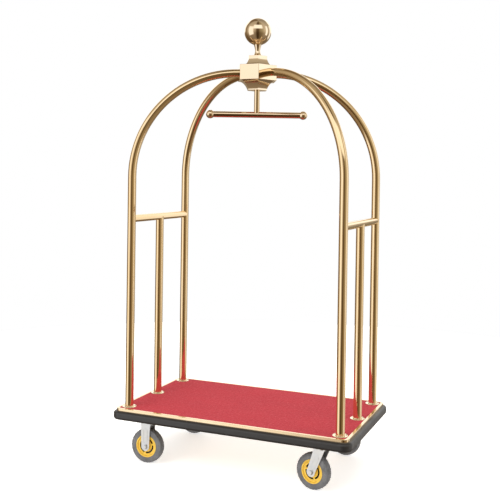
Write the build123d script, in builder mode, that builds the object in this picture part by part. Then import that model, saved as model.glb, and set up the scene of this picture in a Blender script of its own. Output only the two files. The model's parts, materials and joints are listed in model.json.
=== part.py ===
"""Hotel luggage cart with a birdcage frame.

Frame: origin on the floor at the cart's middle, +X along the platform towards the swivel casters,
+Y across it, +Z up. The fixed casters are at -X. All sizes are in millimetres.
"""
from build123d import *
from math import atan2, cos, degrees, hypot, radians, sin
import os

os.makedirs("parts", exist_ok=True)

# ---- driving dimensions ----------------------------------------------------------------------
DECK_X, DECK_Y = 523.0, 300.0          # half length and half width of the platform, without bumper
DECK_R = 25.0                          # plan radius of the platform's corners
FRAME_Z, BOARD_Z, PILE_Z = 190.0, 220.0, 236.0
TRIM_Z, TRIM_T, TRIM_W, LIP_H = 240.0, 1.2, 12.0, 15.7
CARPET_TOP = 241.5
BUMPER_Z, BUMPER_H, BUMPER_OUT = 193.0, 37.0, 14.0
BUMPER_FILLET = 12.0
RAIL_T = 6.0                           # aluminium rail that carries the bumper

POST_X, POST_Y = 479.0, 252.0
TUBE_R, TUBE_WALL = 18.0, 1.5
RAIL_R, SIDE_RAIL_Z = 16.0, 1063.0
FLANGE_R, FLANGE_T = 31.0, 2.6
FLANGE_Z = CARPET_TOP - 0.6            # a flange presses the pile down
SCREW_CIRCLE_R = 26.0

HUB_Z, HUB_H, HUB_WALL = 1708.0, 66.0, 3.5
HUB_CORNERS = [(91.5, 0), (44, 91), (-44, 91), (-91.5, 0), (-44, -91), (44, -91)]
HUB_FACE = 81.1                        # axis of the hub to the face an arch tube enters
TUBE_IN_HUB = 10.0
CROWN_TOP_H, CROWN_LOW_H = 43.0, 41.0
BALL_R, BALL_Z = 60.0, 1893.0
TIE_R = 6.0

BAR_Z, BAR_R, BAR_HALF, BAR_TURN = 1527.0, 13.5, 200.0, 24.0
BAR_BALL_R, ROD_R, SPIGOT_R = 19.0, 12.5, 10.0

WHEEL_R, TYRE_W, RIM_R = 74.0, 38.0, 48.5
CASTER_X, CASTER_Y = 399.0, 225.0
TRAIL, SWIVEL_TURN = 39.0, -13.0       # wheel behind the swivel axis; turn of the swivel casters
PLATE_X, PLATE_Y, PLATE_T = 104.0, 84.0, 4.0
BOLT_X, BOLT_Y = 80.0, 60.0
LEG_IN, LEG_T = 22.0, 3.0              # inner face of a fork leg from the wheel's middle; its thickness
AXLE_R, SLEEVE_R, BUSH_R = 6.0, 8.0, 12.0
SLOT_IN, SLOT_OUT = 26.0, 33.0         # radii of the curved slots in the rim's web
SLOT_FLOOR = 3.0                       # wall left between the rim's slots of both sides

FIT = 0.05                             # radial running clearance
GAP = 0.3                              # clearance between bodies that move past each other

corner_posts = {
    "front_left": (-POST_X, -POST_Y), "front_right": (POST_X, -POST_Y),
    "rear_left": (-POST_X, POST_Y), "rear_right": (POST_X, POST_Y),
}
centre_posts = {"left": (-POST_X, 0.0), "right": (POST_X, 0.0)}
post_spots = [*corner_posts.values(), *centre_posts.values()]
screw_spots = [
    (x + SCREW_CIRCLE_R * cos(radians(a)), y + SCREW_CIRCLE_R * sin(radians(a)))
    for x, y in post_spots for a in (30, 150, 270)
]
caster_spots = {
    "front_left": (-CASTER_X, -CASTER_Y, 0.0), "rear_left": (-CASTER_X, CASTER_Y, 0.0),
    "front_right": (CASTER_X, -CASTER_Y, SWIVEL_TURN), "rear_right": (CASTER_X, CASTER_Y, SWIVEL_TURN),
}
rim_turns = {"front_left": 16, "rear_left": 70, "front_right": 47, "rear_right": 100}


# ---- platform --------------------------------------------------------------------------------
def deck_outline(inset, height, plane_z, mode=Mode.ADD):
    """A rounded rectangle prism that follows the platform's edge, moved in by inset."""
    with BuildSketch(Plane.XY.offset(plane_z)) as outline:
        RectangleRounded(2 * (DECK_X - inset), 2 * (DECK_Y - inset), max(DECK_R - inset, 3.0))
    extrude(outline.sketch, amount=height, mode=mode)


with BuildPart() as deck_board:
    deck_outline(TRIM_T + GAP, PILE_Z - BOARD_Z, BOARD_Z)
    with Locations(*[(x, y, PILE_Z) for x, y in post_spots]):
        Hole(radius=5.25)
    with Locations(*[(x, y, PILE_Z) for x, y in screw_spots]):
        Hole(radius=1.8, depth=13)
deck_board.part.label = "deck_board"
export_step(deck_board.part, "parts/deck_board.step")

with BuildPart() as carpet:
    deck_outline(TRIM_T + GAP, TRIM_Z - PILE_Z, PILE_Z)
    deck_outline(TRIM_W + GAP, CARPET_TOP - TRIM_Z, TRIM_Z)
    with Locations(*[(x, y, CARPET_TOP) for x, y in post_spots]):
        Hole(radius=TUBE_R + 0.2)
        Hole(radius=FLANGE_R + 0.2, depth=CARPET_TOP - FLANGE_Z)
    with Locations(*[(x, y, CARPET_TOP) for x, y in screw_spots]):
        Hole(radius=1.8)
carpet.part.label = "carpet"
export_step(carpet.part, "parts/carpet.step")

with BuildPart() as edge_trim:
    deck_outline(0, TRIM_T + LIP_H, TRIM_Z - LIP_H)
    fillet(edge_trim.edges().group_by(Axis.Z)[-1], radius=1.0)
    deck_outline(TRIM_T, LIP_H, TRIM_Z - LIP_H, mode=Mode.SUBTRACT)
    deck_outline(TRIM_W, TRIM_T, TRIM_Z, mode=Mode.SUBTRACT)
edge_trim.part.label = "edge_trim"
export_step(edge_trim.part, "parts/edge_trim.step")

# The rail is a flat strip with a T-shaped head that the bumper is slid on to.
RAIL_Z, RAIL_H = 196.0, 24.0
WEB_OUT, HEAD_OUT, WEB_H, HEAD_H = 4.0, 7.0, 5.0, 14.0
rail_mid = RAIL_Z + RAIL_H / 2
with BuildPart() as bumper_rail:
    deck_outline(0, RAIL_H, RAIL_Z)
    deck_outline(-WEB_OUT, WEB_H, rail_mid - WEB_H / 2)
    deck_outline(-HEAD_OUT, HEAD_H, rail_mid - HEAD_H / 2)
    deck_outline(-WEB_OUT, HEAD_H / 2 - WEB_H / 2, rail_mid + WEB_H / 2, mode=Mode.SUBTRACT)
    deck_outline(-WEB_OUT, HEAD_H / 2 - WEB_H / 2, rail_mid - HEAD_H / 2, mode=Mode.SUBTRACT)
    deck_outline(0, RAIL_H, RAIL_Z)
    deck_outline(RAIL_T, RAIL_H, RAIL_Z, mode=Mode.SUBTRACT)
bumper_rail.part.label = "bumper_rail"
export_step(bumper_rail.part, "parts/bumper_rail.step")

with BuildPart() as bumper:
    deck_outline(-BUMPER_OUT, BUMPER_H, BUMPER_Z)
    fillet(bumper.edges().group_by(Axis.Z)[-1] + bumper.edges().group_by(Axis.Z)[0], radius=BUMPER_FILLET)
    deck_outline(0, BUMPER_H, BUMPER_Z, mode=Mode.SUBTRACT)
    deck_outline(-WEB_OUT, WEB_H, rail_mid - WEB_H / 2, mode=Mode.SUBTRACT)
    with BuildSketch(Plane.XY.offset(rail_mid - HEAD_H / 2)):
        RectangleRounded(2 * (DECK_X + HEAD_OUT), 2 * (DECK_Y + HEAD_OUT), DECK_R + HEAD_OUT)
        RectangleRounded(
            2 * (DECK_X + WEB_OUT), 2 * (DECK_Y + WEB_OUT), DECK_R + WEB_OUT, mode=Mode.SUBTRACT
        )
    extrude(amount=HEAD_H, mode=Mode.SUBTRACT)
bumper.part.label = "bumper"
export_step(bumper.part, "parts/bumper.step")

# ---- steel underframe ------------------------------------------------------------------------
SIDE_W, FRAME_H, FRAME_WALL = 30.0, BOARD_Z - FRAME_Z, 2.0
side_y = DECK_Y - RAIL_T - SIDE_W / 2
frame_x = DECK_X - RAIL_T
for side, y in {"front": -side_y, "rear": side_y}.items():
    with BuildPart() as frame_side:
        with BuildSketch(Plane.YZ.offset(-frame_x + DECK_R)):
            with Locations((y, FRAME_Z + FRAME_H / 2)):
                RectangleRounded(SIDE_W, FRAME_H, 2.5)
                RectangleRounded(
                    SIDE_W - 2 * FRAME_WALL, FRAME_H - 2 * FRAME_WALL, 1.0, mode=Mode.SUBTRACT
                )
        extrude(amount=2 * (frame_x - DECK_R))
    frame_side.part.label = f"frame_side_{side}"
    export_step(frame_side.part, f"parts/frame_side_{side}.step")

CHANNEL_W, CHANNEL_T = 180.0, 3.0
channel_y = side_y - SIDE_W / 2
for end, sign in {"left": -1, "right": 1}.items():
    channel_x = sign * (frame_x - CHANNEL_W / 2)
    with BuildPart() as frame_end:
        with BuildSketch(Plane.XY.offset(FRAME_Z)):
            with Locations((channel_x, 0)):
                Rectangle(CHANNEL_W, 2 * channel_y)
        extrude(amount=FRAME_H)
        with BuildSketch(Plane.XY.offset(FRAME_Z + CHANNEL_T)):
            with Locations((channel_x, 0)):
                Rectangle(CHANNEL_W - 2 * CHANNEL_T, 2 * channel_y)
        extrude(amount=FRAME_H - CHANNEL_T, mode=Mode.SUBTRACT)
        with Locations(*[(x, y, FRAME_Z + CHANNEL_T) for x, y in post_spots if x * sign > 0]):
            Hole(radius=5.25)
        for y in (-CASTER_Y, CASTER_Y):
            with Locations((sign * CASTER_X, y, FRAME_Z + CHANNEL_T)):
                with GridLocations(BOLT_X, BOLT_Y, 2, 2):
                    Hole(radius=4.2)
    frame_end.part.label = f"frame_end_{end}"
    export_step(frame_end.part, f"parts/frame_end_{end}.step")

with BuildPart() as frame_middle:
    with BuildSketch(Plane.XZ.offset(-channel_y)):
        with Locations((0, FRAME_Z + FRAME_H / 2)):
            RectangleRounded(SIDE_W, FRAME_H, 2.5)
            RectangleRounded(
                SIDE_W - 2 * FRAME_WALL, FRAME_H - 2 * FRAME_WALL, 1.0, mode=Mode.SUBTRACT
            )
    extrude(amount=2 * channel_y)
frame_middle.part.label = "frame_middle"
export_step(frame_middle.part, "parts/frame_middle.step")

# ---- posts, arches and rails -----------------------------------------------------------------
diagonal = hypot(POST_X, POST_Y)
ARCH_R = diagonal - HUB_FACE
spring_z = HUB_Z - ARCH_R
for corner, (x, y) in corner_posts.items():
    inward = (-x / diagonal, -y / diagonal, 0)
    arch_plane = Plane(origin=(x, y, 0), x_dir=inward, z_dir=(inward[1], -inward[0], 0))
    with BuildPart() as arch_tube:
        with BuildLine(arch_plane):
            Line((0, PILE_Z), (0, spring_z))
            RadiusArc((0, spring_z), (ARCH_R, HUB_Z), ARCH_R)
            Line((ARCH_R, HUB_Z), (ARCH_R + TUBE_IN_HUB, HUB_Z))
        with BuildSketch(Plane(origin=(x, y, PILE_Z))):
            Circle(TUBE_R)
            Circle(TUBE_R - TUBE_WALL, mode=Mode.SUBTRACT)
        sweep()
    arch_tube.part.label = f"arch_tube_{corner}"
    export_step(arch_tube.part, f"parts/arch_tube_{corner}.step")

for end, (x, y) in centre_posts.items():
    with BuildPart() as side_rail:
        with BuildSketch(Plane(origin=(x, POST_Y, SIDE_RAIL_Z), z_dir=(0, -1, 0))):
            Circle(RAIL_R)
            Circle(RAIL_R - TUBE_WALL, mode=Mode.SUBTRACT)
        extrude(amount=2 * POST_Y)
        with Locations((x, -POST_Y, SIDE_RAIL_Z), (x, POST_Y, SIDE_RAIL_Z)):
            Cylinder(TUBE_R, 4 * RAIL_R, mode=Mode.SUBTRACT)
    side_rail.part.label = f"side_rail_{end}"
    export_step(side_rail.part, f"parts/side_rail_{end}.step")

    with BuildPart() as centre_post:
        with BuildSketch(Plane.XY.offset(PILE_Z)):
            with Locations((x, y)):
                Circle(TUBE_R)
                Circle(TUBE_R - TUBE_WALL, mode=Mode.SUBTRACT)
        extrude(amount=SIDE_RAIL_Z - PILE_Z)
        with Locations((x, y, SIDE_RAIL_Z)):
            Cylinder(RAIL_R, 4 * TUBE_R, rotation=(90, 0, 0), mode=Mode.SUBTRACT)
    centre_post.part.label = f"centre_post_{end}"
    export_step(centre_post.part, f"parts/centre_post_{end}.step")

# Each flange is a thin disc with a low collar, slid over the tube and screwed to the board.
COLLAR_R, COLLAR_H = 20.5, 6.0
flange_spots = {**corner_posts, "centre_left": centre_posts["left"], "centre_right": centre_posts["right"]}
for spot, (x, y) in flange_spots.items():
    with BuildPart() as post_flange:
        with BuildSketch(Plane(origin=(x, y, FLANGE_Z))):
            Circle(FLANGE_R)
        extrude(amount=FLANGE_T)
        fillet(post_flange.edges().group_by(Axis.Z)[-1], radius=1.6)
        with BuildSketch(Plane(origin=(x, y, FLANGE_Z + FLANGE_T))):
            Circle(COLLAR_R)
        extrude(amount=COLLAR_H - FLANGE_T)
        fillet(post_flange.edges().group_by(Axis.Z)[-1], radius=1.2)
        with Locations((x, y, FLANGE_Z + COLLAR_H)):
            Hole(radius=TUBE_R)
        with Locations(Location((x, y, FLANGE_Z + FLANGE_T), 30)):
            with PolarLocations(SCREW_CIRCLE_R, 3):
                Hole(radius=2.0)
    post_flange.part.label = f"post_flange_{spot}"
    export_step(post_flange.part, f"parts/post_flange_{spot}.step")

with BuildPart() as flange_screws:
    with BuildSketch(Plane.XY.offset(FLANGE_Z + FLANGE_T)):
        with Locations(*screw_spots):
            Circle(3.8)
    extrude(amount=1.8)
    fillet(flange_screws.edges().group_by(Axis.Z)[-1], radius=1.2)
    with BuildSketch(Plane.XY.offset(FLANGE_Z + FLANGE_T)):
        with Locations(*screw_spots):
            Circle(1.75)
    extrude(amount=-(FLANGE_Z + FLANGE_T - PILE_Z + 11))
    with Locations(*[(x, y, FLANGE_Z + FLANGE_T + 1.8) for x, y in screw_spots]):
        Box(4.4, 0.9, 1.6, mode=Mode.SUBTRACT)
        Box(0.9, 4.4, 1.6, mode=Mode.SUBTRACT)
flange_screws.part.label = "flange_screws"
export_step(flange_screws.part, "parts/flange_screws.step")

PLUG_H, POST_BOLT_R = 26.0, 5.0
with BuildPart() as post_plugs:
    with BuildSketch(Plane.XY.offset(PILE_Z)):
        with Locations(*post_spots):
            Circle(TUBE_R - TUBE_WALL)
            Circle(POST_BOLT_R, mode=Mode.SUBTRACT)
    extrude(amount=PLUG_H)

with BuildPart() as post_bolts:
    with BuildSketch(Plane.XY.offset(FRAME_Z)):
        with Locations(*post_spots):
            Circle(POST_BOLT_R)
    extrude(amount=PILE_Z + PLUG_H - FRAME_Z - 4)
    with BuildSketch(Plane.XY.offset(FRAME_Z)):
        with Locations(*post_spots):
            RegularPolygon(radius=9.8, side_count=6)
    extrude(amount=-6.4)
post_fixings = Compound(label="post_fixings", children=[post_plugs.part, post_bolts.part])
export_step(post_fixings, "parts/post_fixings.step")


# ---- hub, crowns and finial ------------------------------------------------------------------
def hub_section(scale, plane_z):
    """The hub's six-sided outline, scaled about its middle, as a sketch at plane_z."""
    with BuildSketch(Plane.XY.offset(plane_z)) as section:
        Polygon(*[(x * scale, y * scale) for x, y in HUB_CORNERS], align=None)
    return section.sketch


hub_top, hub_base = HUB_Z + HUB_H / 2, HUB_Z - HUB_H / 2
with BuildPart() as hub_block:
    with BuildSketch(Plane.XY.offset(hub_base)):
        Polygon(*HUB_CORNERS, align=None)
    extrude(amount=HUB_H)
    chamfer(hub_block.edges(), length=0.8)
    with BuildSketch(Plane.XY.offset(hub_base + HUB_WALL)):
        Polygon(*HUB_CORNERS, align=None)
        offset(amount=-HUB_WALL, kind=Kind.INTERSECTION, mode=Mode.REPLACE)
    extrude(amount=HUB_H - 2 * HUB_WALL, mode=Mode.SUBTRACT)
    for x, y in corner_posts.values():
        with BuildSketch(Plane(origin=(0, 0, HUB_Z), z_dir=(x, y, 0))):
            Circle(TUBE_R)
        extrude(amount=2 * HUB_FACE, mode=Mode.SUBTRACT)
    with Locations((0, 0, hub_top)):
        Hole(radius=TIE_R)
hub_block.part.label = "hub_block"
export_step(hub_block.part, "parts/hub_block.step")

# Height above the base as a share of the crown's height, and the width as a share of the hub's.
top_profile = [(0.0, 0.706), (0.10, 0.655), (0.24, 0.60), (0.42, 0.548), (0.60, 0.510), (0.66, 0.500)]
low_profile = [(0.0, 0.883), (0.10, 0.800), (0.24, 0.715), (0.42, 0.640), (0.66, 0.565), (1.0, 0.503)]


def crown_body(profile, base_z, height):
    """A coved six-sided body lofted through the profile's sections."""
    loft([hub_section(scale, base_z + share * height) for share, scale in profile])


with BuildPart() as crown_top:
    crown_body(top_profile, hub_top, CROWN_TOP_H)
    with BuildSketch(Plane.XY.offset(hub_top + 0.66 * CROWN_TOP_H)):
        Polygon(*[(x * 0.500, y * 0.500) for x, y in HUB_CORNERS], align=None)
    extrude(amount=0.34 * CROWN_TOP_H)
    fillet(crown_top.edges().group_by(Axis.Z)[-1], radius=0.8)
    with Locations((0, 0, hub_top)):
        Cylinder(
            34, CROWN_TOP_H - 16, align=(Align.CENTER, Align.CENTER, Align.MIN), mode=Mode.SUBTRACT
        )
        Cylinder(TIE_R, 2 * CROWN_TOP_H, mode=Mode.SUBTRACT)
crown_top.part.label = "crown_top"
export_step(crown_top.part, "parts/crown_top.step")

crown_base = hub_base - CROWN_LOW_H
with BuildPart() as crown_low:
    crown_body(low_profile, hub_base, -CROWN_LOW_H)
    with Locations((0, 0, hub_base)):
        Cylinder(
            34, CROWN_LOW_H - HUB_WALL, align=(Align.CENTER, Align.CENTER, Align.MAX), mode=Mode.SUBTRACT
        )
        Cylinder(SPIGOT_R + FIT, 4 * CROWN_LOW_H, mode=Mode.SUBTRACT)
crown_low.part.label = "crown_low"
export_step(crown_low.part, "parts/crown_low.step")

neck_base = hub_top + CROWN_TOP_H
with BuildPart() as finial_neck:
    with BuildSketch(Plane.XZ):
        with BuildLine():
            Polyline((TIE_R, neck_base + 55), (TIE_R, neck_base), (22, neck_base), (22, neck_base + 3))
            Spline((22, neck_base + 3), (14.5, neck_base + 12), (11.8, neck_base + 24),
                   (13.2, neck_base + 38), (18.5, neck_base + 55))
            Line((18.5, neck_base + 55), (TIE_R, neck_base + 55))
        make_face()
    revolve(axis=Axis.Z)
    with Locations((0, 0, BALL_Z)):
        Sphere(BALL_R, mode=Mode.SUBTRACT)
finial_neck.part.label = "finial_neck"
export_step(finial_neck.part, "parts/finial_neck.step")

BALL_WALL, BOSS_R, BOSS_TOP = 2.0, 11.0, 1858.0
with BuildPart() as finial_ball:
    with Locations((0, 0, BALL_Z)):
        Sphere(BALL_R)
        Sphere(BALL_R - BALL_WALL, mode=Mode.SUBTRACT)
    with BuildSketch(Plane.XY.offset(BALL_Z - BALL_R + 2)):
        Circle(BOSS_R)
    extrude(amount=BOSS_TOP - BALL_Z + BALL_R - 2)
    with BuildSketch(Plane.XY.offset(BALL_Z - BALL_R)):
        Circle(TIE_R)
    extrude(amount=BOSS_TOP - BALL_Z + BALL_R - 4, mode=Mode.SUBTRACT)
finial_ball.part.label = "finial_ball"
export_step(finial_ball.part, "parts/finial_ball.step")

# The tie rod is screwed into the ball and pulls neck, crown and hub together with a nut below.
NUT_H, NUT_R = 10.0, 10.4
with BuildPart() as tie_rod:
    with BuildSketch(Plane.XY.offset(hub_base - NUT_H - 3)):
        Circle(TIE_R)
    extrude(amount=BOSS_TOP - 6 - hub_base + NUT_H + 3)
with BuildPart() as tie_nut:
    with BuildSketch(Plane.XY.offset(hub_base - NUT_H)):
        RegularPolygon(radius=NUT_R, side_count=6)
        Circle(TIE_R, mode=Mode.SUBTRACT)
    extrude(amount=NUT_H)
tie_set = Compound(label="tie_rod", children=[tie_rod.part, tie_nut.part])
export_step(tie_set, "parts/tie_rod.step")

# ---- hanger T-bar, which turns in the lower crown --------------------------------------------
bar_plane = Plane(
    origin=(0, 0, BAR_Z), z_dir=(cos(radians(BAR_TURN)), sin(radians(BAR_TURN)), 0)
)
with BuildPart() as hanger_bar:
    with BuildSketch(bar_plane.offset(-BAR_HALF)):
        Circle(BAR_R)
    extrude(amount=2 * BAR_HALF)
hanger_bar.part.label = "hanger_bar"
export_step(hanger_bar.part, "parts/hanger_bar.step")

ball_offset = BAR_HALF + 5.0
with BuildPart() as hanger_balls:
    with Locations(*[bar_plane.offset(sign * ball_offset).location for sign in (-1, 1)]):
        Sphere(BAR_BALL_R)
    with BuildSketch(bar_plane.offset(-BAR_HALF)):
        Circle(BAR_R)
    extrude(amount=2 * BAR_HALF, mode=Mode.SUBTRACT)
hanger_balls.part.label = "hanger_bar_balls"
export_step(hanger_balls.part, "parts/hanger_bar_balls.step")

with BuildPart() as hanger_rod:
    with BuildSketch(Plane.XY.offset(BAR_Z)):
        Circle(ROD_R)
    extrude(amount=crown_base - GAP - BAR_Z)
    with BuildSketch(Plane.XY.offset(crown_base - GAP)):
        Circle(SPIGOT_R)
    extrude(amount=16)
    with BuildSketch(bar_plane.offset(-BAR_HALF)):
        Circle(BAR_R)
    extrude(amount=2 * BAR_HALF, mode=Mode.SUBTRACT)
hanger_rod.part.label = "hanger_rod"
export_step(hanger_rod.part, "parts/hanger_rod.step")

with BuildPart() as hanger_collar:
    with BuildSketch(Plane.XY.offset(crown_base + HUB_WALL + GAP)):
        Circle(17)
        Circle(SPIGOT_R, mode=Mode.SUBTRACT)
    extrude(amount=8)
hanger_collar.part.label = "hanger_collar"
export_step(hanger_collar.part, "parts/hanger_collar.step")


# ---- casters ---------------------------------------------------------------------------------
def wheel_planes(x, y, turn, trail):
    """Planes through a wheel's centre: face (normal along the axle) and radial (axial, up)."""
    ahead = (cos(radians(turn)), sin(radians(turn)), 0)
    axle = (ahead[1], -ahead[0], 0)
    centre = (x - trail * ahead[0], y - trail * ahead[1], WHEEL_R)
    face = Plane(origin=centre, x_dir=ahead, z_dir=axle)
    radial = Plane(origin=centre, x_dir=axle, z_dir=(-ahead[0], -ahead[1], 0))
    return face, radial


LEG_TOP = FRAME_Z - PLATE_T
CROWN_Z = 176.0                        # top of a swivel fork's crown
END_R = 19.0                           # rounded lower end of a fork leg
half_fork = LEG_IN + LEG_T
for corner, (x, y, turn) in caster_spots.items():
    swivels = "right" in corner
    trail = TRAIL if swivels else 0.0
    face, radial = wheel_planes(x, y, turn, trail)
    plate_plane = Plane(origin=(x, y, LEG_TOP))
    axle_axis = Axis(face.origin, face.z_dir)
    top_z = (CROWN_Z if swivels else LEG_TOP) - WHEEL_R

    # The fork: two legs with rounded ends, joined at the top by a crown or by the top plate.
    with BuildPart() as fork:
        with BuildSketch(face.offset(-half_fork)):
            Circle(END_R)
            leg_half = 25.0 if swivels else 22.5
            Polygon((-END_R, 0), (END_R, 0), (trail + leg_half, top_z), (trail - leg_half, top_z),
                    align=None)
        extrude(amount=2 * half_fork)
        with BuildSketch(face.offset(-LEG_IN)):
            Rectangle(6 * WHEEL_R, 2 * (top_z - LEG_T), align=(Align.CENTER, Align.CENTER))
        extrude(amount=2 * LEG_IN, mode=Mode.SUBTRACT)
        with BuildSketch(face.offset(half_fork)):
            with Locations((trail * 0.45, top_z * 0.42)):
                SlotCenterToCenter(46, 20, rotation=90 - degrees(atan2(trail, top_z)) * 1.05)
                SlotCenterToCenter(46, 15, rotation=90 - degrees(atan2(trail, top_z)) * 1.05,
                                   mode=Mode.SUBTRACT)
        extrude(amount=0.8)
        if swivels:
            with BuildSketch(Plane(origin=(x, y, CROWN_Z - LEG_T))):
                Circle(31)
            extrude(amount=LEG_T)
            with Locations((x, y, CROWN_Z)):
                Hole(radius=AXLE_R + FIT, depth=LEG_T + 1)
        else:
            with BuildSketch(plate_plane):
                RectangleRounded(PLATE_X, PLATE_Y, 8)
                with GridLocations(BOLT_X, BOLT_Y, 2, 2):
                    Circle(4.2, mode=Mode.SUBTRACT)
            extrude(amount=PLATE_T)
        with BuildSketch(face.offset(-2 * half_fork)):
            Circle(AXLE_R)
        extrude(amount=4 * half_fork, mode=Mode.SUBTRACT)
    fork.part.label = f"caster_fork_{corner}"
    export_step(fork.part, f"parts/caster_fork_{corner}.step")

    if swivels:
        with BuildPart() as top_plate:
            with BuildSketch(plate_plane):
                RectangleRounded(PLATE_X, PLATE_Y, 8)
                with GridLocations(BOLT_X, BOLT_Y, 2, 2):
                    Circle(4.2, mode=Mode.SUBTRACT)
                Circle(AXLE_R, mode=Mode.SUBTRACT)
            extrude(amount=PLATE_T)
        top_plate.part.label = f"caster_plate_{corner}"
        export_step(top_plate.part, f"parts/caster_plate_{corner}.step")

    # Axle set: a hex bolt from the outer side, its nut and the spacer sleeve between the legs.
    with BuildPart() as axle:
        with BuildSketch(face.offset(-half_fork - 11)):
            Circle(AXLE_R)
        extrude(amount=2 * half_fork + 11)
        with BuildSketch(face.offset(half_fork)):
            RegularPolygon(radius=10.4, side_count=6)
        extrude(amount=5)
        with BuildSketch(face.offset(half_fork + 5)):
            Circle(8.6)
        extrude(amount=2.2, taper=20)
    with BuildPart() as axle_nut:
        with BuildSketch(face.offset(-half_fork)):
            RegularPolygon(radius=10.4, side_count=6)
            Circle(AXLE_R, mode=Mode.SUBTRACT)
        extrude(amount=-9)
    with BuildPart() as axle_sleeve:
        with BuildSketch(face.offset(-LEG_IN)):
            Circle(SLEEVE_R)
            Circle(AXLE_R, mode=Mode.SUBTRACT)
        extrude(amount=2 * LEG_IN)
    axle_set = Compound(label=f"wheel_axle_{corner}", children=[axle.part, axle_nut.part, axle_sleeve.part])
    export_step(axle_set, f"parts/wheel_axle_{corner}.step")

    with BuildPart() as bush:
        with BuildSketch(face.offset(-LEG_IN + 1.5)):
            Circle(BUSH_R)
            Circle(SLEEVE_R + FIT, mode=Mode.SUBTRACT)
        extrude(amount=2 * (LEG_IN - 1.5))
    bush.part.label = f"wheel_bush_{corner}"
    export_step(bush.part, f"parts/wheel_bush_{corner}.step")

    # Rim: a ring with lips, a thick web with three curved slots a side, and a boss round the bush.
    half_rim, half_web, half_boss = 17.0, 11.0, LEG_IN - 2.0
    with BuildPart() as rim:
        with BuildSketch(radial):
            with BuildLine():
                Polyline(
                    (0, BUSH_R), (half_boss, BUSH_R), (half_boss, 18.5), (half_web + 1, 20.5),
                    (half_web, 24), (half_web, 38), (half_web + 1, 41.5), (half_rim, 44),
                    (half_rim, RIM_R), (0, RIM_R), close=True
                )
            make_face()
            mirror(about=Plane.YZ)
        revolve(axis=axle_axis)
        for side in (-1, 1):
            with BuildSketch(face.offset(side * half_rim)) as slots:
                Circle(SLOT_OUT)
                Circle(SLOT_IN, mode=Mode.SUBTRACT)
                for spoke in (0, 120, 240):
                    with Locations(Location((0, 0), spoke + rim_turns[corner])):
                        Rectangle(40, 7, align=(Align.MIN, Align.CENTER), mode=Mode.SUBTRACT)
                fillet(slots.vertices(), radius=2.5)
            extrude(amount=side * (SLOT_FLOOR / 2 - half_rim), mode=Mode.SUBTRACT)
    rim.part.label = f"wheel_rim_{corner}"
    export_step(rim.part, f"parts/wheel_rim_{corner}.step")

    # Tyre: rounded shoulders, three grooves round the tread and a bead line on each side.
    half_tyre = TYRE_W / 2
    with BuildPart() as tyre:
        with BuildSketch(radial):
            with BuildLine():
                Polyline((0, RIM_R), (half_rim, RIM_R), (half_rim + 0.6, 51))
                ThreePointArc((half_rim + 0.6, 51), (half_tyre, 60), (half_tyre - 2, 68.5))
                ThreePointArc((half_tyre - 2, 68.5), (half_tyre - 3.8, 71.4), (12, 72.9))
                ThreePointArc((12, 72.9), (6, 73.725), (0, WHEEL_R))
                Line((0, WHEEL_R), (0, RIM_R))
            make_face()
            mirror(about=Plane.YZ)
            with Locations((-9, WHEEL_R), (0, WHEEL_R), (9, WHEEL_R)):
                Rectangle(2.2, 5.0, mode=Mode.SUBTRACT)
        revolve(axis=axle_axis)
    tyre.part.label = f"tyre_{corner}"
    export_step(tyre.part, f"parts/tyre_{corner}.step")

swivel_spots = [(x, y) for x, y, turn in caster_spots.values() if turn]
with BuildPart() as king_pins:
    with BuildSketch(Plane.XY.offset(CROWN_Z - LEG_T - 8 - GAP)):
        with Locations(*swivel_spots):
            Circle(AXLE_R)
    extrude(amount=FRAME_Z - CROWN_Z + LEG_T + 8 + GAP)
    with BuildSketch(Plane.XY.offset(CROWN_Z - LEG_T - GAP)):
        with Locations(*swivel_spots):
            RegularPolygon(radius=10.4, side_count=6)
    extrude(amount=-7)

# Caged ball rings between the top plates and the fork crowns.
with BuildPart() as ball_rings:
    with BuildSketch(Plane.XY.offset(CROWN_Z + GAP)):
        with Locations(*swivel_spots):
            Circle(27)
            Circle(18, mode=Mode.SUBTRACT)
    extrude(amount=LEG_TOP - CROWN_Z - GAP)
    chamfer(ball_rings.edges().group_by(Axis.Z)[0], length=2.0)
swivel_pivots = Compound(label="swivel_pivots", children=[king_pins.part, ball_rings.part])
export_step(swivel_pivots, "parts/swivel_pivots.step")

with BuildPart() as caster_bolts:
    bolt_spots = [
        (x + sx * BOLT_X / 2, y + sy * BOLT_Y / 2)
        for x, y, turn in caster_spots.values() for sx in (-1, 1) for sy in (-1, 1)
    ]
    with BuildSketch(Plane.XY.offset(LEG_TOP)):
        with Locations(*bolt_spots):
            Circle(4.0)
    extrude(amount=PLATE_T + CHANNEL_T + 9)
    with BuildSketch(Plane.XY.offset(LEG_TOP)):
        with Locations(*bolt_spots):
            RegularPolygon(radius=7.5, side_count=6)
    extrude(amount=-5.3)
    with BuildSketch(Plane.XY.offset(FRAME_Z + CHANNEL_T)):
        with Locations(*bolt_spots):
            RegularPolygon(radius=7.5, side_count=6)
    extrude(amount=6.5)
caster_bolts.part.label = "caster_bolts"
export_step(caster_bolts.part, "parts/caster_bolts.step")
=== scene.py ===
"""Hotel luggage cart: materials, detail pieces, light and camera for the visual model.

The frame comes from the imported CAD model. Everything is in metres, +Z up, +X towards the swivel casters.
"""
import json
import math
import random

import bmesh
import bpy
from mathutils import Matrix, Vector


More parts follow.
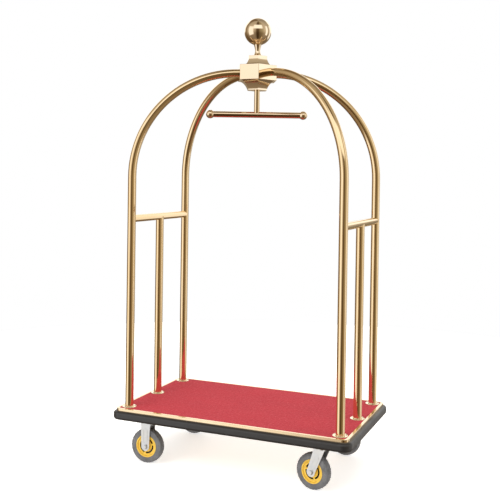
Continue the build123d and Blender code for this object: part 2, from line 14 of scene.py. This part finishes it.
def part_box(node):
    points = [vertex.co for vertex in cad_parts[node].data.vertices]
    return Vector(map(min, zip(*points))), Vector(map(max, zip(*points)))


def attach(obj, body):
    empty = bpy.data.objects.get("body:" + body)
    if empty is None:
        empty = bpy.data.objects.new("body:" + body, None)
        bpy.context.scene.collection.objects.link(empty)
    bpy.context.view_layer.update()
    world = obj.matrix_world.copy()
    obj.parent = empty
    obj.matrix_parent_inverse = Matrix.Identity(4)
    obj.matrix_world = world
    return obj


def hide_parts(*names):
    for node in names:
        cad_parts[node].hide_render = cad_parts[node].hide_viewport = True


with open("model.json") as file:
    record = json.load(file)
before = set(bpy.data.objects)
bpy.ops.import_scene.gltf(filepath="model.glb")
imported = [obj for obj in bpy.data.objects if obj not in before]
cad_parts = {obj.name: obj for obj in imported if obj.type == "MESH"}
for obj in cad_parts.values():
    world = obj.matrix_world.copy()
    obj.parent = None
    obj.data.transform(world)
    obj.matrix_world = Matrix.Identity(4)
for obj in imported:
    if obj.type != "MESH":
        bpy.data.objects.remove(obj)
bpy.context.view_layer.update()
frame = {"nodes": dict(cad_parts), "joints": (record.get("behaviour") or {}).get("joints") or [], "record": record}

nodes = frame["nodes"]
CORNERS = ("front_left", "rear_left", "front_right", "rear_right")
scene = bpy.context.scene

# ---- camera: the photograph's viewing angle --------------------------------------------------
CAMERA_PLACE = (1.3907, -3.3690, 1.2671)
YAW, PITCH, ROLL = math.radians(22.485), math.radians(-0.809), math.radians(0.830)
LENS, SHIFT_X, SHIFT_Y = 59.35, -0.0098, -0.1294

camera_data = bpy.data.cameras.new("camera")
camera_data.lens = LENS
camera_data.sensor_width = 36.0
camera_data.shift_x = SHIFT_X
camera_data.shift_y = SHIFT_Y
camera = bpy.data.objects.new("camera", camera_data)
scene.collection.objects.link(camera)
camera.matrix_world = (
    Matrix.Translation(CAMERA_PLACE)
    @ Matrix.Rotation(YAW, 4, "Z")
    @ Matrix.Rotation(math.radians(90) + PITCH, 4, "X")
    @ Matrix.Rotation(ROLL, 4, "Z")
)
bpy.context.scene.camera = camera

# ---- light: a white studio; polished metal shows a warm room with pale soft boxes in it ----------
scene.view_settings.view_transform = "Standard"
scene.view_settings.look = "None"


def node_maker(tree):
    """Returns a function that adds a node of a kind with its properties and inputs set.

    Inputs are named by their socket, or i and a number where names repeat.
    """
    def make(kind, props=None, **inputs):
        node = tree.nodes.new("ShaderNode" + kind)
        for key, value in (props or {}).items():
            setattr(node, key, value)
        for key, value in inputs.items():
            numbered = key[0] == "i" and key[1:].isdigit()
            socket = node.inputs[int(key[1:]) if numbered else key]
            if isinstance(value, bpy.types.NodeSocket):
                tree.links.new(value, socket)
            else:
                socket.default_value = value
        return node
    return make


def ramp(make, factor, stops):
    """A linear colour ramp over factor with (place, grey or colour) stops; returns its colour output."""
    node = make("ValToRGB", Fac=factor)
    marks = node.color_ramp.elements
    marks[0].position, marks[-1].position = stops[0][0], stops[-1][0]
    for place, colour in stops[1:-1]:
        marks.new(place)
    for mark, (place, colour) in zip(marks, stops):
        mark.color = (colour, colour, colour, 1) if isinstance(colour, (int, float)) else (*colour, 1)
    return node.outputs["Color"]


world = bpy.data.worlds.new("studio")
scene.world = world
world.use_nodes = True
sky = world.node_tree
sky.nodes.clear()
add = node_maker(sky)
way = add("TexCoord").outputs["Generated"]
turned = add("Mapping", {"vector_type": "POINT"}, Vector=way, Rotation=(0, 0, -YAW)).outputs["Vector"]
parts = add("SeparateXYZ", Vector=turned)
azimuth = add("Math", {"operation": "ARCTAN2"}, i0=parts.outputs["X"], i1=parts.outputs["Y"]).outputs[0]
share = add("MapRange", Value=azimuth, i1=-math.pi, i2=math.pi, i3=0.0, i4=1.0).outputs[0]
height = add("MapRange", Value=parts.outputs["Z"], i1=-1.0, i2=1.0, i3=0.0, i4=1.0).outputs[0]


def band(value, low, high, edge):
    """1 where value lies between low and high, falling softly to 0 over edge on both sides."""
    smooth = {"interpolation_type": "SMOOTHSTEP"}
    rise = add("MapRange", smooth, Value=value, i1=low - edge, i2=low + edge)
    fall = add("MapRange", smooth, Value=value, i1=high + edge, i2=high - edge)
    return add("Math", {"operation": "MULTIPLY"}, i0=rise.outputs[0], i1=fall.outputs[0]).outputs[0]


# A warm room by height, dark behind the camera, with pale soft boxes. Shares run round the cart from
# behind the camera (0) by its left (0.25), the far side (0.5) and its right (0.75).
room = ramp(add, height, [
    (0.00, (0.24, 0.18, 0.12)), (0.34, (0.36, 0.28, 0.19)), (0.50, (0.60, 0.51, 0.38)),
    (0.62, (0.66, 0.58, 0.46)), (0.80, (0.62, 0.54, 0.42)), (1.00, (0.50, 0.43, 0.33)),
])
gaps = ramp(add, share, [
    (0.00, (0.16, 0.12, 0.07)), (0.030, (0.22, 0.17, 0.11)), (0.060, 0.70), (0.110, 0.95), (0.26, 0.85),
    (0.32, (0.40, 0.33, 0.25)), (0.44, (0.34, 0.28, 0.20)), (0.50, 0.75), (0.60, 0.55), (0.72, 0.80),
    (0.83, 1.0), (0.89, (0.66, 0.64, 0.52)), (0.955, (0.46, 0.42, 0.32)), (0.985, (0.18, 0.13, 0.08)),
    (1.00, (0.16, 0.12, 0.07)),
])
studio = add("Mix", {"data_type": "RGBA", "blend_type": "MULTIPLY"}, i0=1.0, i6=room, i7=gaps).outputs[2]
HEIGHT_EDGE = 0.03
SOFT_BOXES = [                  # share from and to, height from and to, soft edge, brightness
    (0.112, 0.235, 0.28, 0.78, 0.018, 1.18),
    (0.745, 0.800, 0.30, 0.78, 0.014, 1.25),
    (0.615, 0.680, 0.30, 0.74, 0.016, 1.10),
    (0.370, 0.630, 0.55, 0.82, 0.030, 1.30),
    (-0.04, 0.115, 0.66, 0.88, 0.030, 1.25),
    (0.885, 1.040, 0.66, 0.88, 0.030, 1.25),
]
for start, end, bottom, top, edge, bright in SOFT_BOXES:
    round_part = band(share, start, end, edge)
    tall_part = band(height, bottom, top, HEIGHT_EDGE)
    lit = add("Math", {"operation": "MULTIPLY"}, i0=round_part, i1=tall_part).outputs[0]
    pane = (bright, bright * 0.98, bright * 0.95, 1)
    studio = add("Mix", {"data_type": "RGBA", "blend_type": "MIX"}, i0=lit, i6=studio, i7=pane).outputs[2]
seen = add("Background", Color=(1.0, 1.0, 1.0, 1), Strength=1.0).outputs[0]
felt = add("Background", Color=studio, Strength=1.0).outputs[0]
pick = add("LightPath").outputs["Is Camera Ray"]
backdrop = add("MixShader", i0=pick, i1=felt, i2=seen).outputs[0]
add("OutputWorld", Surface=backdrop)


LAMP_COLOUR = (1.0, 0.985, 0.96)


def soft_box(name, place, target, size, power):
    """A rectangular soft light at place that faces target; polished metal doesn't show it."""
    data = bpy.data.lights.new(name, "AREA")
    data.shape = "RECTANGLE"
    data.size, data.size_y = size
    data.energy = power
    data.color = LAMP_COLOUR
    light = bpy.data.objects.new(name, data)
    light.visible_glossy = False
    scene.collection.objects.link(light)
    place = Vector(place)
    facing = (Vector(target) - place).to_track_quat("-Z", "Y")
    light.matrix_world = Matrix.Translation(place) @ facing.to_matrix().to_4x4()


soft_box("key_light", (-1.6, -3.6, 3.4), (0, 0, 0.9), (2.2, 2.2), 70)
soft_box("top_light", (0.2, 0.1, 4.6), (0, 0, 0), (4.2, 4.2), 120)
soft_box("side_light", (3.9, -0.6, 2.2), (0, 0, 0.9), (1.2, 2.6), 30)


# ---- materials -------------------------------------------------------------------------------
def new_material(name):
    """An empty material: returns it, a node maker for it, and a function that closes it with values."""
    material = bpy.data.materials.new(name)
    material.use_nodes = True
    tree = material.node_tree
    tree.nodes.clear()
    make = node_maker(tree)

    def close(bump=None, strength=0.2, distance=0.0002, **values):
        values = {key.replace("_", " "): value for key, value in values.items()}
        if bump is not None:
            values["Normal"] = make("Bump", Height=bump, Strength=strength, Distance=distance).outputs[0]
        shader = make("BsdfPrincipled", **values)
        make("OutputMaterial", Surface=shader.outputs[0])
        return material
    return make, close


def place_of(make, scale=(1, 1, 1)):
    """The object's own coordinates, in metres, stretched by scale."""
    return make("Mapping", Vector=make("TexCoord").outputs["Object"], Scale=scale).outputs[0]


def noise(make, vector, scale, detail=3.0, roughness=0.55):
    return make("TexNoise", Vector=vector, Scale=scale, Detail=detail, Roughness=roughness).outputs["Fac"]


def spread(make, value, low, high, into_low, into_high):
    """Maps value from low..high into into_low..into_high, clamped."""
    return make("MapRange", Value=value, i1=low, i2=high, i3=into_low, i4=into_high).outputs[0]


def mixed(make, factor, first, second, kind="MIX"):
    props = {"data_type": "RGBA", "blend_type": kind}
    first = first if isinstance(first, bpy.types.NodeSocket) else (*first, 1)
    second = second if isinstance(second, bpy.types.NodeSocket) else (*second, 1)
    return make("Mix", props, i0=factor, i6=first, i7=second).outputs[2]


def polished_gold(name, light, deep, gloss=(0.055, 0.13), polish_axis=None):
    """Champagne gold plate: slight colour drift, wiped smudges and fine polishing lines."""
    make, close = new_material(name)
    where = place_of(make)
    drift = noise(make, where, 3.2, 2.0)
    colour = mixed(make, spread(make, drift, 0.35, 0.65, 0.0, 1.0), light, deep)
    smudge = noise(make, place_of(make, (1, 1, 0.55)), 21.0, 5.0, 0.62)
    lines = noise(make, place_of(make, polish_axis or (900, 900, 9)), 1.0, 2.0, 0.5)
    rough = spread(make, smudge, 0.38, 0.72, gloss[0], gloss[1])
    fine = spread(make, lines, 0.3, 0.7, -0.006, 0.006)
    roughness = make("Math", {"operation": "ADD"}, i0=rough, i1=fine).outputs[0]
    tarnish = spread(make, noise(make, where, 30.0, 4.0), 0.60, 0.80, 0.0, 0.12)
    colour = mixed(make, tarnish, colour, (0.62, 0.40, 0.18))
    wave = noise(make, where, 7.0, 1.0)
    return close(bump=wave, strength=0.05, distance=0.0004,
                 Base_Color=colour, Metallic=1.0, Roughness=roughness)


gold_tube = polished_gold("gold_tube", (0.94, 0.74, 0.47), (0.89, 0.67, 0.39))
gold_trim = polished_gold("gold_trim", (0.96, 0.79, 0.55), (0.90, 0.70, 0.45), (0.09, 0.18), (60, 60, 400))
gold_hub = polished_gold("gold_hub", (0.95, 0.81, 0.62), (0.90, 0.73, 0.52), (0.05, 0.10))
gold_hanger = polished_gold("gold_hanger", (0.95, 0.78, 0.55), (0.90, 0.70, 0.46))
gold_flange = polished_gold("gold_flange", (0.97, 0.86, 0.68), (0.93, 0.78, 0.57),
                            (0.10, 0.22), (700, 700, 700))

# The rim's slots lie between these radii, and the rim's material paints shade into them; WEB_FACE is how far the
# web's face is from the wheel's middle.
SLOT_IN, SLOT_OUT, WEB_FACE = 0.0257, 0.0333, 0.0105


def zinc_plate():
    """Bright zinc plate: soft crystalline blotches, a faint blue and yellow drift, fine scratches."""
    make, close = new_material("zinc_plate")
    where = place_of(make)
    cells = make("TexVoronoi", Vector=where, Scale=120.0).outputs["Color"]
    grey = make("RGBToBW", Color=cells).outputs[0]
    drift = noise(make, where, 14.0, 3.0)
    colour = mixed(make, spread(make, drift, 0.38, 0.62, 0.0, 1.0), (0.80, 0.82, 0.85), (0.86, 0.86, 0.84))
    colour = mixed(make, spread(make, grey, 0.2, 0.8, 0.0, 0.14), colour, (0.62, 0.65, 0.69))
    scratch = noise(make, place_of(make, (30, 30, 900)), 1.0, 3.0)
    rough = spread(make, scratch, 0.3, 0.7, 0.28, 0.38)
    bump = make("Math", {"operation": "ADD"}, i0=scratch, i1=grey).outputs[0]
    return close(bump=bump, strength=0.08, distance=0.0001,
                 Base_Color=colour, Metallic=1.0, Roughness=rough)


def turned_steel(name, colour_a, colour_b):
    """Plain turned or plated steel with fine tool lines and light staining."""
    make, close = new_material(name)
    where = place_of(make)
    lines = noise(make, place_of(make, (40, 40, 1600)), 1.0, 2.0)
    stain = noise(make, where, 60.0, 4.0)
    colour = mixed(make, spread(make, stain, 0.35, 0.7, 0.0, 1.0), colour_a, colour_b)
    rough = spread(make, lines, 0.3, 0.7, 0.24, 0.40)
    return close(bump=lines, strength=0.25, distance=0.0001,
                 Base_Color=colour, Metallic=1.0, Roughness=rough)


def bumper_rubber():
    """Extruded black rubber: satin, with faint drawn lines, fine grain and pale dust in the low spots."""
    make, close = new_material("bumper_rubber")
    where = place_of(make)
    drawn = noise(make, place_of(make, (3, 3, 700)), 1.0, 3.0)
    grain = noise(make, where, 900.0, 2.0)
    dust = noise(make, where, 9.0, 6.0, 0.65)
    dusty = spread(make, dust, 0.45, 0.8, 0.0, 0.35)
    colour = mixed(make, dusty, (0.012, 0.012, 0.014), (0.032, 0.032, 0.036))
    rough = spread(make, dust, 0.35, 0.7, 0.30, 0.46)
    bump = make("Math", {"operation": "ADD"}, i0=drawn, i1=grain).outputs[0]
    return close(bump=bump, strength=0.22, distance=0.0002, Base_Color=colour, Roughness=rough,
                 Specular_IOR_Level=0.80)


def tyre_rubber():
    """Grey non-marking rubber: matt, mottled, with a little floor dust."""
    make, close = new_material("tyre_rubber")
    where = place_of(make)
    mottle = noise(make, where, 38.0, 5.0, 0.6)
    patch = spread(make, mottle, 0.35, 0.68, 0.0, 1.0)
    colour = mixed(make, patch, (0.12, 0.123, 0.133), (0.19, 0.193, 0.204))
    dust = spread(make, noise(make, where, 95.0, 6.0, 0.7), 0.56, 0.75, 0.0, 0.5)
    colour = mixed(make, dust, colour, (0.30, 0.29, 0.27))
    grain = noise(make, where, 1300.0, 2.0)
    return close(bump=grain, strength=0.35, distance=0.0002, Base_Color=colour,
                 Roughness=spread(make, mottle, 0.3, 0.7, 0.58, 0.74))


def yellow_rim(corner):
    """Moulded yellow nylon: mottle, fine texture, faint grime, and painted shade, near black, in the slots of its
    web.
    """
    make, close = new_material(f"yellow_rim_{corner}")
    where = place_of(make)
    mottle = noise(make, where, 55.0, 4.0)
    colour = mixed(make, spread(make, mottle, 0.36, 0.66, 0.0, 1.0), (0.86, 0.58, 0.07), (0.78, 0.47, 0.05))
    grime = spread(make, noise(make, where, 160.0, 6.0, 0.7), 0.60, 0.76, 0.0, 0.4)
    colour = mixed(make, grime, colour, (0.38, 0.25, 0.06))
    axle = next(joint for joint in frame["joints"] if joint["name"] == f"spin_{corner}")
    turn = math.atan2(-axle["axis"][0], axle["axis"][1])
    local = make("Mapping", {"vector_type": "TEXTURE"}, Vector=make("TexCoord").outputs["Object"],
                 Location=axle["pos_m"], Rotation=(0, 0, turn)).outputs[0]
    flat = make("Mapping", Vector=local, Scale=(1, 0, 1)).outputs[0]
    radius = make("VectorMath", {"operation": "LENGTH"}, i0=flat).outputs["Value"]
    along = make("SeparateXYZ", Vector=local).outputs["Y"]
    depth = make("Math", {"operation": "ABSOLUTE"}, i0=along).outputs[0]
    outer = make("Math", {"operation": "LESS_THAN"}, i0=radius, i1=SLOT_OUT).outputs[0]
    inner = make("Math", {"operation": "GREATER_THAN"}, i0=radius, i1=SLOT_IN).outputs[0]
    sunk = make("Math", {"operation": "LESS_THAN"}, i0=depth, i1=WEB_FACE).outputs[0]
    ring = make("Math", {"operation": "MULTIPLY"}, i0=outer, i1=inner).outputs[0]
    painted_slot_shade = make("Math", {"operation": "MULTIPLY"}, i0=ring, i1=sunk).outputs[0]
    # painted shade: the slots' walls and floors, below the web's face between SLOT_IN and SLOT_OUT, are painted
    # near black
    colour = mixed(make, painted_slot_shade, colour, (0.012, 0.010, 0.008))
    return close(bump=noise(make, where, 700.0, 2.0), strength=0.15, distance=0.0002, Base_Color=colour,
                 Roughness=spread(make, mottle, 0.3, 0.7, 0.30, 0.42), Subsurface_Weight=0.04,
                 Subsurface_Scale=0.002)


def nylon_bush():
    """Natural nylon, slightly waxy."""
    make, close = new_material("nylon_bush")
    mottle = noise(make, place_of(make), 90.0, 4.0)
    colour = mixed(make, mottle, (0.78, 0.77, 0.70), (0.88, 0.87, 0.82))
    return close(bump=mottle, strength=0.1, Base_Color=colour,
                 Roughness=spread(make, mottle, 0.3, 0.7, 0.36, 0.48))


def powder_coat():
    """Black powder coat with an orange peel surface and a few rubbed spots."""
    make, close = new_material("powder_coat")
    where = place_of(make)
    peel = make("TexVoronoi", {"feature": "SMOOTH_F1"}, Vector=where, Scale=620.0).outputs["Distance"]
    rub = spread(make, noise(make, where, 24.0, 6.0, 0.7), 0.6, 0.75, 0.0, 1.0)
    colour = mixed(make, rub, (0.022, 0.022, 0.025), (0.07, 0.07, 0.075))
    return close(bump=peel, strength=0.30, distance=0.0002, Base_Color=colour,
                 Roughness=spread(make, rub, 0.0, 1.0, 0.36, 0.52))


def mill_aluminium():
    """Extruded aluminium with drawn lines."""
    make, close = new_material("mill_aluminium")
    lines = noise(make, place_of(make, (4, 4, 1500)), 1.0, 2.0)
    colour = mixed(make, lines, (0.78, 0.79, 0.80), (0.88, 0.88, 0.89))
    return close(bump=lines, strength=0.2, distance=0.0001, Base_Color=colour, Metallic=1.0,
                 Roughness=spread(make, lines, 0.3, 0.7, 0.30, 0.44))


def birch_plywood():
    """Birch plywood: long grain on the faces, and thin alternating plies on the edges."""
    make, close = new_material("birch_plywood")
    grain = noise(make, place_of(make, (2.2, 34, 34)), 1.6, 6.0, 0.6)
    fibre = noise(make, place_of(make, (9, 420, 420)), 1.0, 3.0)
    face = mixed(make, spread(make, grain, 0.35, 0.68, 0.0, 1.0), (0.62, 0.45, 0.27), (0.46, 0.31, 0.17))
    face = mixed(make, spread(make, fibre, 0.42, 0.7, 0.0, 0.4), face, (0.34, 0.22, 0.12))
    level = make("SeparateXYZ", Vector=place_of(make)).outputs["Z"]
    ply = make("Math", {"operation": "PINGPONG"}, i0=level, i1=0.0016).outputs[0]
    edge = mixed(make, spread(make, ply, 0.0006, 0.0010, 0.0, 1.0), (0.36, 0.23, 0.13), (0.62, 0.46, 0.28))
    facing = make("SeparateXYZ", Vector=make("TexCoord").outputs["Normal"]).outputs["Z"]
    upright = make("Math", {"operation": "ABSOLUTE"}, i0=facing).outputs[0]
    colour = mixed(make, spread(make, upright, 0.4, 0.6, 0.0, 1.0), edge, face)
    return close(bump=fibre, strength=0.25, distance=0.0002, Base_Color=colour,
                 Roughness=spread(make, grain, 0.3, 0.7, 0.58, 0.72))


def carpet_pile():
    """Red cut pile: each tuft a little lighter or darker, shaded lanes, and a soft sheen."""
    make, close = new_material("carpet_pile")
    where = place_of(make)
    tuft = make("TexVoronoi", Vector=where, Scale=420.0)
    shade = make("RGBToBW", Color=tuft.outputs["Color"]).outputs[0]
    lanes = noise(make, place_of(make, (1.0, 1.6, 1.0)), 5.5, 4.0, 0.6)
    speckle = noise(make, where, 260.0, 4.0, 0.75)
    fleck = noise(make, where, 95.0, 3.0, 0.7)
    tuft_shade = spread(make, shade, 0.15, 0.85, 0.0, 1.0)
    colour = mixed(make, tuft_shade, (0.39, 0.018, 0.033), (0.52, 0.043, 0.067))
    colour = mixed(make, spread(make, lanes, 0.34, 0.68, 0.0, 0.55), colour, (0.50, 0.029, 0.048))
    colour = mixed(make, spread(make, speckle, 0.58, 0.80, 0.0, 0.55), colour, (0.60, 0.13, 0.15))
    colour = mixed(make, spread(make, speckle, 0.40, 0.26, 0.0, 0.65), colour, (0.22, 0.008, 0.016))
    colour = mixed(make, spread(make, fleck, 0.54, 0.76, 0.0, 0.45), colour, (0.68, 0.15, 0.18))
    colour = mixed(make, spread(make, fleck, 0.46, 0.28, 0.0, 0.45), colour, (0.31, 0.007, 0.017))
    crown = spread(make, tuft.outputs["Distance"], 0.0, 0.75, 1.0, 0.0)
    bump = make("Math", {"operation": "MULTIPLY_ADD"}, i0=speckle, i1=0.6, i2=crown).outputs[0]
    return close(bump=bump, strength=0.55, distance=0.0009, Base_Color=colour, Roughness=0.92,
                 Sheen_Weight=0.08, Sheen_Roughness=0.5, Sheen_Tint=(1.0, 0.55, 0.55, 1))


def pale_floor():
    """Plain pale studio floor."""
    make, close = new_material("pale_floor")
    cloud = noise(make, place_of(make), 0.8, 3.0)
    colour = mixed(make, cloud, (0.90, 0.90, 0.90), (0.93, 0.93, 0.93))
    return close(Base_Color=colour, Roughness=0.55, Specular_IOR_Level=0.15,
                 Emission_Color=(1, 1, 1, 1), Emission_Strength=0.58)


zinc = zinc_plate()
screw_metal = turned_steel("screw_metal", (0.78, 0.68, 0.50), (0.70, 0.60, 0.44))
plain_steel = turned_steel("plain_steel", (0.56, 0.56, 0.58), (0.44, 0.43, 0.42))
tyre_look = tyre_rubber()
looks = {
    "gold_tube": gold_tube, "gold_trim": gold_trim, "gold_hub": gold_hub, "gold_hanger": gold_hanger,
    "plain_steel": plain_steel, "screws": screw_metal, "plywood": birch_plywood(),
    "bumper_rubber": bumper_rubber(), "aluminium": mill_aluminium(), "frame_paint": powder_coat(),
    "zinc": zinc, "bush": nylon_bush(), "carpet": carpet_pile(),
}
slot_of = {part["node"]: part["material_slot"] for part in frame["record"]["subparts"]}


def dress(obj, material):
    """Gives an object one material."""
    obj.data.materials.clear()
    obj.data.materials.append(material)


for name, node in nodes.items():
    if name.startswith("post_flange"):
        dress(node, gold_flange)
    elif name.startswith("wheel_rim"):
        dress(node, yellow_rim(name.removeprefix("wheel_rim_")))
    elif name.startswith("tyre"):
        dress(node, tyre_look)
    else:
        dress(node, looks[slot_of[name]])


# ---- carpet: a laid sheet with a real pile surface -------------------------------------------
POST_SPOTS = ("front_left", "front_right", "rear_left", "rear_right", "centre_left", "centre_right")
TRIM_COVER = 0.0120                    # how far the trim's flange reaches over the carpet
TRIM_GAP = 0.0005                      # between the flange's inner edge and the raised pile
TRIM_T_OVER = 0.0014                   # from the top of the trim down to the pressed pile
STEP_DOWN = 0.0006                     # width of the step from raised to pressed pile
CARPET_R = 0.0235                      # plan radius of the carpet's corners
FLANGE_REACH, POST_HOLE = 0.0322, 0.0225
PILE_DIP, PILE_RISE, PILE_JITTER = -0.0008, 0.0004, 0.25


def box_middle(node):
    """The middle of a CAD node's box."""
    low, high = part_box(node)
    return (low + high) / 2


def grid_lines(half, inner, step):
    """Coordinates across the carpet: the hidden edge, the step down under the trim, then even lines."""
    count = round(2 * inner / step)
    middle = [-inner + 2 * inner * i / count for i in range(count + 1)]
    outside = [inner + STEP_DOWN, (half + inner) / 2, half]
    return [-value for value in reversed(outside)] + middle + outside


def make_carpet(step, seed):
    """The carpet over the deck: uneven pile tops inside the trim, pressed flat under the trim's flange."""
    low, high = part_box("carpet")
    trim_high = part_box("edge_trim")[1]
    half_x, half_y = high.x, high.y
    inner_x = trim_high.x - TRIM_COVER - TRIM_GAP
    inner_y = trim_high.y - TRIM_COVER - TRIM_GAP
    pressed = trim_high.z - TRIM_T_OVER
    rng = random.Random(seed)
    xs = grid_lines(half_x, inner_x, step)
    ys = grid_lines(half_y, inner_y, step)
    posts = [box_middle(f"post_flange_{spot}") for spot in POST_SPOTS]
    flange_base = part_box("post_flange_front_left")[0].z
    mesh = bmesh.new()
    tops, bases = {}, {}
    for i, x in enumerate(xs):
        for j, y in enumerate(ys):
            shown = abs(x) <= inner_x and abs(y) <= inner_y
            away_x, away_y = abs(x) - (half_x - CARPET_R), abs(y) - (half_y - CARPET_R)
            px, py = x, y
            if away_x > 0 and away_y > 0:
                pull = max(away_x, away_y) / math.hypot(away_x, away_y)
                px = math.copysign(half_x - CARPET_R + away_x * pull, x)
                py = math.copysign(half_y - CARPET_R + away_y * pull, y)
            under_flange = any(math.hypot(x - p.x, y - p.y) < FLANGE_REACH for p in posts)
            z = high.z + rng.uniform(PILE_DIP, PILE_RISE) if shown else pressed
            if under_flange:
                z = min(z, flange_base - 0.0001)
            if shown and abs(x) < inner_x and abs(y) < inner_y:
                px += rng.uniform(-PILE_JITTER, PILE_JITTER) * step
                py += rng.uniform(-PILE_JITTER, PILE_JITTER) * step
            tops[i, j] = (px, py, z)
            bases[i, j] = (px, py, low.z)
    kept = {}                          # the grid's cells outside the post holes, in order
    for i in range(len(xs) - 1):
        for j in range(len(ys) - 1):
            mx, my = (xs[i] + xs[i + 1]) / 2, (ys[j] + ys[j + 1]) / 2
            if all(math.hypot(mx - p.x, my - p.y) > POST_HOLE for p in posts):
                kept[i, j] = True
    points = {}

    def point(layer, key):
        """The mesh point of a grid key in the layer of tops or bases, made when first asked for."""
        if (layer, key) not in points:
            points[layer, key] = mesh.verts.new((tops if layer == "top" else bases)[key])
        return points[layer, key]

    for i, j in kept:
        ring_keys = [(i, j), (i + 1, j), (i + 1, j + 1), (i, j + 1)]
        mesh.faces.new([point("top", key) for key in ring_keys])
        mesh.faces.new([point("base", key) for key in reversed(ring_keys)])
        beside = [(i, j - 1), (i + 1, j), (i, j + 1), (i - 1, j)]
        for side in range(4):
            if beside[side] not in kept:
                a, b = ring_keys[side], ring_keys[(side + 1) % 4]
                mesh.faces.new([point("base", a), point("base", b), point("top", b), point("top", a)])
    data = bpy.data.meshes.new("carpet_pile")
    mesh.to_mesh(data)
    mesh.free()
    data.shade_smooth()
    obj = bpy.data.objects.new("carpet_pile", data)
    scene.collection.objects.link(obj)
    return obj, (2 * half_x, 2 * half_y)


carpet, carpet_flat = make_carpet(0.0032, 7)
dress(carpet, looks["carpet"])
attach(carpet, "cart")
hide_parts("carpet")


# ---- tyres: lugged tread and ringed sidewalls ------------------------------------------------
TYRE_IN, TYRE_OUT, TYRE_HALF, BEAD_HALF = 0.0485, 0.0740, 0.0190, 0.0170
TREAD_HALF, LUG_DEPTH, LUGS, LUG_SLOPE = 0.0155, 0.0024, 26, 0.0105
WALL_LUG_DEPTH = 0.0011
CROWN_R = 0.066                        # radius of the tread's crown across the tyre


def ridge(value, centre, width):
    """1 at centre, falling smoothly to 0 at width from it."""
    away = min(abs(value - centre) / width, 1.0)
    return (1 - away * away) ** 2


def tyre_section():
    """Points (radius, offset along the axle, share of the tread pattern) across the tyre, bead to bead."""
    side = []
    wall_steps = 20
    wall_in, wall_out = TYRE_IN + 0.0005, 0.0690
    for i in range(wall_steps + 1):
        radius = wall_in + (wall_out - wall_in) * i / wall_steps
        offset = TYRE_HALF - 0.0003 - 0.0019 * ((radius - 0.060) / 0.009) ** 2
        offset += 0.0004 * (ridge(radius, 0.0530, 0.0013) + ridge(radius, 0.0575, 0.0013))
        side.append((radius, min(offset, TYRE_HALF), min(max((radius - 0.0605) / 0.003, 0.0), 1.0)))
    side.append((0.0704, 0.0166, 1.0))
    side.append((0.0716, 0.0161, 1.0))
    tread = []
    tread_steps = 26
    for i in range(tread_steps + 1):
        offset = TREAD_HALF * (1 - 2 * i / tread_steps)
        radius = TYRE_OUT - CROWN_R + math.sqrt(CROWN_R ** 2 - offset ** 2)
        tread.append((radius, offset, 1.0))
    back = [(radius, -offset, share_of) for radius, offset, share_of in reversed(side)]
    return [(TYRE_IN, BEAD_HALF, 0.0), *side, *tread, *back, (TYRE_IN, -BEAD_HALF, 0.0)]


def inward(radius, offset):
    """How far a lug groove sinks along the radius and along the axle at a point of the section."""
    shoulder = min(max((abs(offset) - 0.0145) / 0.002, 0.0), 1.0)
    on_wall = min(max((0.0725 - radius) / 0.003, 0.0), 1.0) * shoulder
    return LUG_DEPTH * (1 - on_wall), math.copysign(WALL_LUG_DEPTH * on_wall, offset)


def groove(turn_share, radius, offset):
    """Depth share of the tread's crossed diagonal grooves and its two ring grooves at a point."""
    run = math.copysign(abs(offset) + max(0.0, 0.0740 - radius), offset)
    depth = 0.0
    for slope in (0.5, -0.5):
        phase = (turn_share * LUGS + slope * run / LUG_SLOPE) % 1.0
        depth = max(depth, ridge(phase, 0.5, 0.17))
    for line in (-0.0105, 0.0105):
        depth = max(depth, 0.8 * ridge(offset, line, 0.0011))
    return depth


def make_tyre(corner, around):
    """A tyre on its wheel's axle."""
    axle = next(joint for joint in frame["joints"] if joint["name"] == f"spin_{corner}")
    turn = math.atan2(-axle["axis"][0], axle["axis"][1])
    place = Matrix.Translation(axle["pos_m"]) @ Matrix.Rotation(turn, 4, "Z")
    section = tyre_section()
    points, faces = [], []
    for i in range(around):
        angle = 2 * math.pi * i / around
        for radius, offset, share_of in section:
            depth = share_of * groove(i / around, radius, offset) if share_of else 0.0
            sink, tuck = inward(radius, offset)
            reach = radius - depth * sink
            points.append(place @ Vector((
                reach * math.cos(angle), offset - depth * tuck, reach * math.sin(angle)
            )))
    count = len(section)
    for i in range(around):
        here, following = i * count, (i + 1) % around * count
        for j in range(count):
            k = (j + 1) % count
            faces.append((here + j, here + k, following + k, following + j))
    data = bpy.data.meshes.new(f"tyre_lugged_{corner}")
    data.from_pydata(points, [], faces)
    data.shade_smooth()
    obj = bpy.data.objects.new(f"tyre_lugged_{corner}", data)
    scene.collection.objects.link(obj)
    return obj


for corner in CORNERS:
    tyre = make_tyre(corner, 312)
    dress(tyre, tyre_look)
    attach(tyre, f"wheel_{corner}")
    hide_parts(f"tyre_{corner}")


# ---- floor -----------------------------------------------------------------------------------
FLOOR_R, FLOOR_SIDES = 3.4, 128
floor_data = bpy.data.meshes.new("floor")
floor_rim = [2 * math.pi * i / FLOOR_SIDES for i in range(FLOOR_SIDES)]
floor_data.from_pydata(
    [(FLOOR_R * math.cos(a), FLOOR_R * math.sin(a), 0) for a in floor_rim], [], [tuple(range(FLOOR_SIDES))]
)
floor = bpy.data.objects.new("floor", floor_data)
scene.collection.objects.link(floor)
dress(floor, pale_floor())
floor.visible_glossy = False
